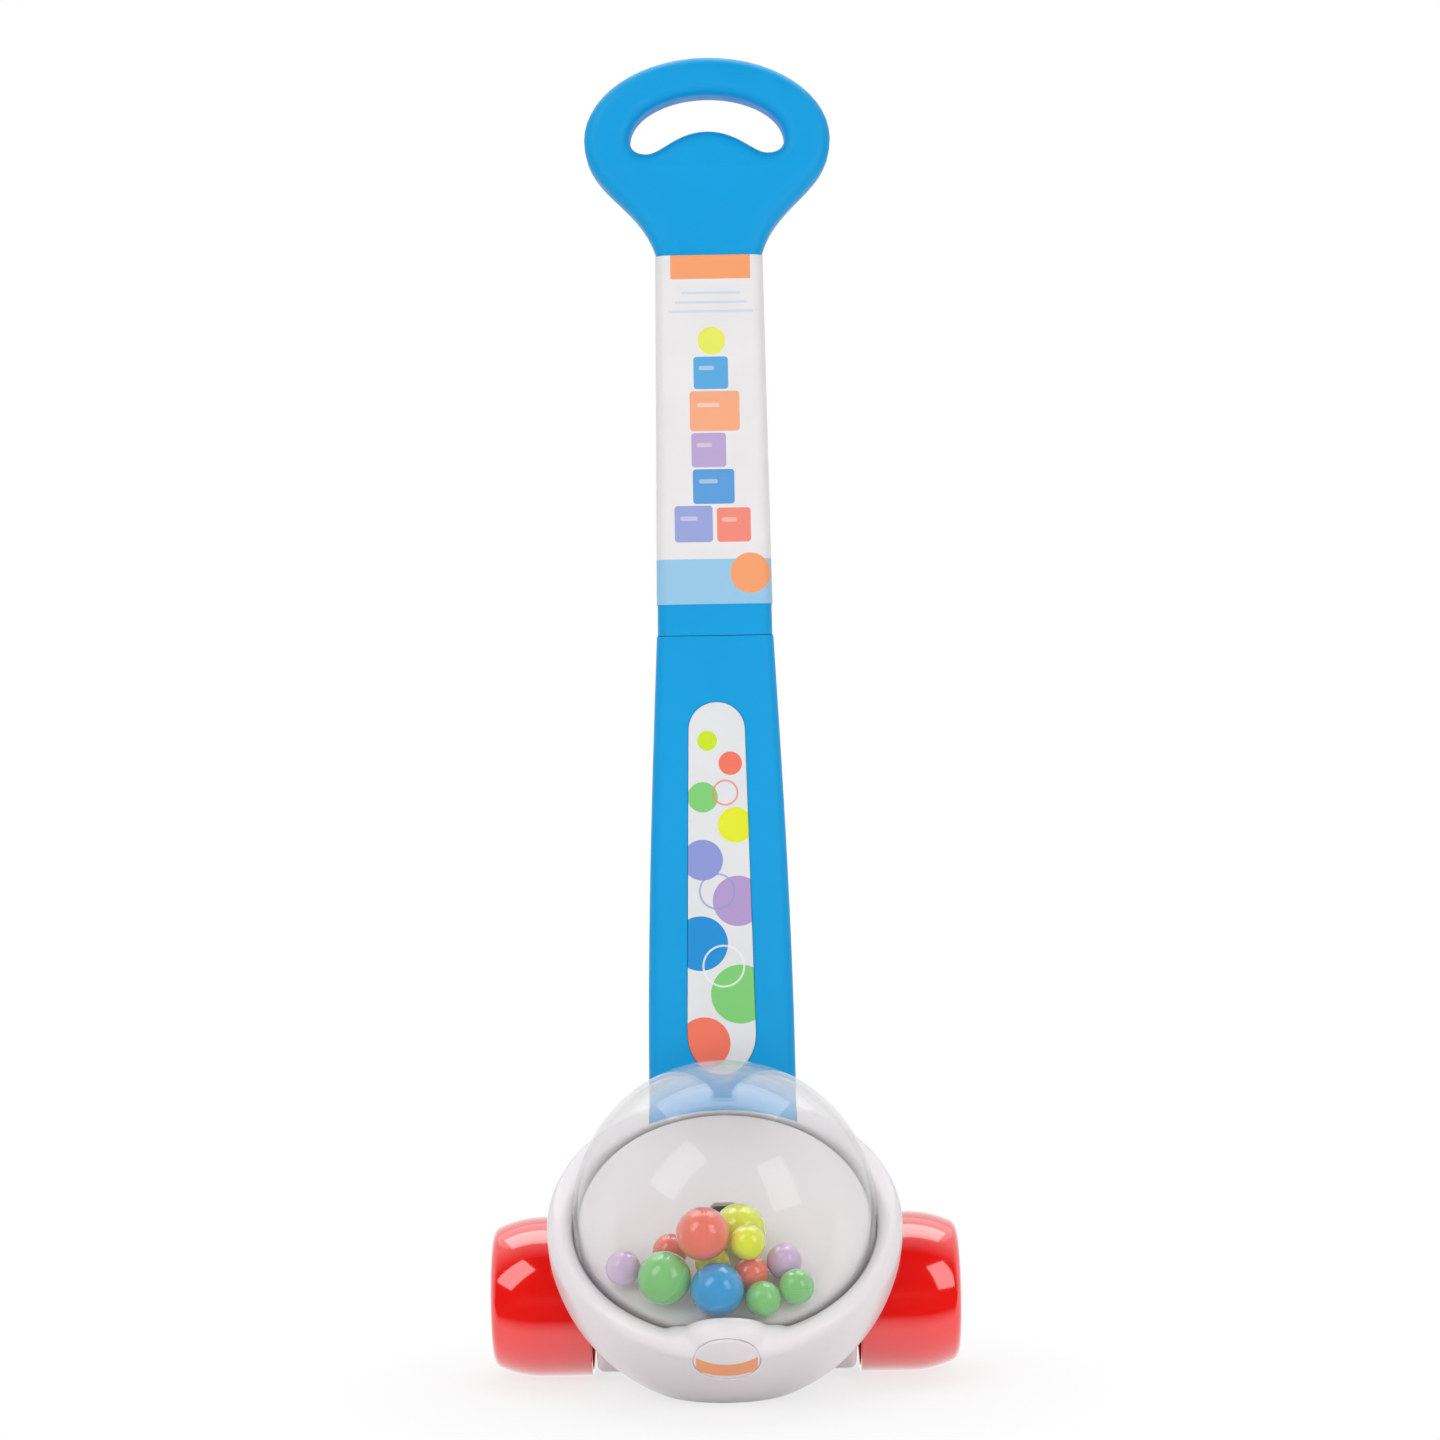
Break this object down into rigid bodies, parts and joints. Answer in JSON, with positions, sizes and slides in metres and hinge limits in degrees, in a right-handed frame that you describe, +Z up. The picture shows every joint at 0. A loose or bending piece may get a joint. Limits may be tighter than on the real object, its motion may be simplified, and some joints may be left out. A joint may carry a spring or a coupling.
{
  "type": "push toy",
  "caption": "Upright push-along toddler toy: red wheels, a clear dome of loose balls on a round white base, and a tall blue handle with a loop grip.",
  "frame": {"origin": "on the floor, under the middle of the bounding box", "axes": "+X to the right as seen from the front, +Y to the back, +Z up along the handle"},
  "size_m": [0.2224, 0.1612, 0.604],
  "materials": {
    "white_plastic": "warm white injection-moulded plastic, soft gloss",
    "blue_plastic": "bright blue moulded plastic, satin",
    "red_plastic": "bright red moulded plastic, high gloss",
    "clear_plastic": "clear moulded plastic",
    "card": "printed card, white with plain bands and discs",
    "label": "printed film label, white with coloured dots",
    "steel": "plain zinc-plated steel",
    "grey_plastic": "grey moulded plastic of hidden pieces",
    "coral_ball": "coral plastic, gloss",
    "yellow_ball": "yellow plastic, gloss",
    "green_ball": "light green plastic, gloss",
    "blue_ball": "blue plastic, gloss",
    "purple_ball": "lilac plastic, gloss"
  },
  "bodies": {
    "toy": {"striker_pin": "steel", "base_shell": "white_plastic", "bottom_cover": "white_plastic", "badge_plate": "white_plastic", "dome": "clear_plastic", "dome_floor": "white_plastic", "cover_screw_1": "steel", "cover_screw_2": "steel", "cover_screw_3": "steel", "cover_screw_4": "steel", "gearbox_screw_1": "steel", "gearbox_screw_2": "steel", "gearbox_screw_3": "steel", "gearbox_screw_4": "steel", "floor_screw_1": "steel", "floor_screw_2": "steel", "floor_screw_3": "steel", "gearbox_pillar_front": "grey_plastic", "gearbox_pillar_back": "grey_plastic", "axle_bush_left": "grey_plastic", "gearbox_plate_left": "grey_plastic", "axle_bush_right": "grey_plastic", "gearbox_plate_right": "grey_plastic", "handle_lower": "blue_plastic", "handle_upper": "blue_plastic", "label_strip": "label", "card_sleeve": "card", "handle_screw": "steel"},
    "wheels": {"wheel_left": "red_plastic", "wheel_right": "red_plastic", "axle": "steel", "axle_cap_left": "white_plastic", "axle_cap_right": "white_plastic", "drive_pinion": "grey_plastic"},
    "cam": {"cam_shaft": "steel", "cam_gear": "grey_plastic", "star_cam": "grey_plastic"},
    "striker": {"striker_lever": "grey_plastic", "striker_head": "white_plastic", "striker_spring": "steel"},
    "ball_coral_large": {"ball_coral_large": "coral_ball"},
    "ball_yellow_large": {"ball_yellow_large": "yellow_ball"},
    "ball_yellow_right": {"ball_yellow_right": "yellow_ball"},
    "ball_coral_left": {"ball_coral_left": "coral_ball"},
    "ball_purple_right": {"ball_purple_right": "purple_ball"},
    "ball_yellow_front": {"ball_yellow_front": "yellow_ball"},
    "ball_purple_left": {"ball_purple_left": "purple_ball"},
    "ball_coral_right": {"ball_coral_right": "coral_ball"},
    "ball_green_large": {"ball_green_large": "green_ball"},
    "ball_blue_large": {"ball_blue_large": "blue_ball"},
    "ball_green_right": {"ball_green_right": "green_ball"},
    "ball_green_front": {"ball_green_front": "green_ball"}
  },
  "joints": [
    {"name": "wheel_spin", "type": "hinge", "parent": "toy", "child": "wheels", "pos_m": [0, 0.03538, 0.036], "axis": [1, 0, 0], "continuous": true},
    {"name": "cam_spin", "type": "hinge", "parent": "toy", "child": "cam", "pos_m": [0, 0.02216, 0.05232], "axis": [1, 0, 0], "continuous": true},
    {"name": "striker_kick", "type": "hinge", "parent": "toy", "child": "striker", "pos_m": [0, 0.02943, 0.08381], "axis": [-1, 0, 0], "range_deg": [0, 10], "stiffness_Nm_per_rad": 0.05, "springref_deg": -5.73},
    {"name": "pop_coral_large", "type": "slide", "parent": "toy", "child": "ball_coral_large", "axis": [0, 0, 1], "range_m": [0, 0.018]},
    {"name": "pop_yellow_large", "type": "slide", "parent": "toy", "child": "ball_yellow_large", "axis": [0, 0, 1], "range_m": [0, 0.0175]},
    {"name": "pop_yellow_right", "type": "slide", "parent": "toy", "child": "ball_yellow_right", "axis": [0, 0, 1], "range_m": [0, 0.0165]},
    {"name": "pop_coral_left", "type": "slide", "parent": "toy", "child": "ball_coral_left", "axis": [0, 0, 1], "range_m": [0, 0.0135]},
    {"name": "pop_purple_right", "type": "slide", "parent": "toy", "child": "ball_purple_right", "axis": [0, 0, 1], "range_m": [0, 0.0114]},
    {"name": "pop_yellow_front", "type": "slide", "parent": "toy", "child": "ball_yellow_front", "axis": [0, 0, 1], "range_m": [0, 0.0114]},
    {"name": "pop_purple_left", "type": "slide", "parent": "toy", "child": "ball_purple_left", "axis": [0, 0, 1], "range_m": [0, 0.0107]},
    {"name": "pop_coral_right", "type": "slide", "parent": "toy", "child": "ball_coral_right", "axis": [0, 0, 1], "range_m": [0, 0.0094]},
    {"name": "pop_green_large", "type": "slide", "parent": "toy", "child": "ball_green_large", "axis": [0, 0, 1], "range_m": [0, 0.0092]},
    {"name": "pop_blue_large", "type": "slide", "parent": "toy", "child": "ball_blue_large", "axis": [0, 0, 1], "range_m": [0, 0.007]},
    {"name": "pop_green_right", "type": "slide", "parent": "toy", "child": "ball_green_right", "axis": [0, 0, 1], "range_m": [0, 0.0069]},
    {"name": "pop_green_front", "type": "slide", "parent": "toy", "child": "ball_green_front", "axis": [0, 0, 1], "range_m": [0, 0.0048]}
  ],
  "couplings": [
    {"joint": "cam_spin", "follows": "wheel_spin", "ratio": -0.5},
    {"joint": "pop_yellow_large", "follows": "pop_coral_large", "ratio": 0.947},
    {"joint": "pop_yellow_right", "follows": "pop_coral_large", "ratio": 0.887},
    {"joint": "pop_coral_left", "follows": "pop_coral_large", "ratio": 0.724},
    {"joint": "pop_purple_right", "follows": "pop_coral_large", "ratio": 0.607},
    {"joint": "pop_yellow_front", "follows": "pop_coral_large", "ratio": 0.603},
    {"joint": "pop_purple_left", "follows": "pop_coral_large", "ratio": 0.566},
    {"joint": "pop_coral_right", "follows": "pop_coral_large", "ratio": 0.494},
    {"joint": "pop_green_large", "follows": "pop_coral_large", "ratio": 0.483},
    {"joint": "pop_blue_large", "follows": "pop_coral_large", "ratio": 0.361},
    {"joint": "pop_green_right", "follows": "pop_coral_large", "ratio": 0.355},
    {"joint": "pop_green_front", "follows": "pop_coral_large", "ratio": 0.241}
  ]
}
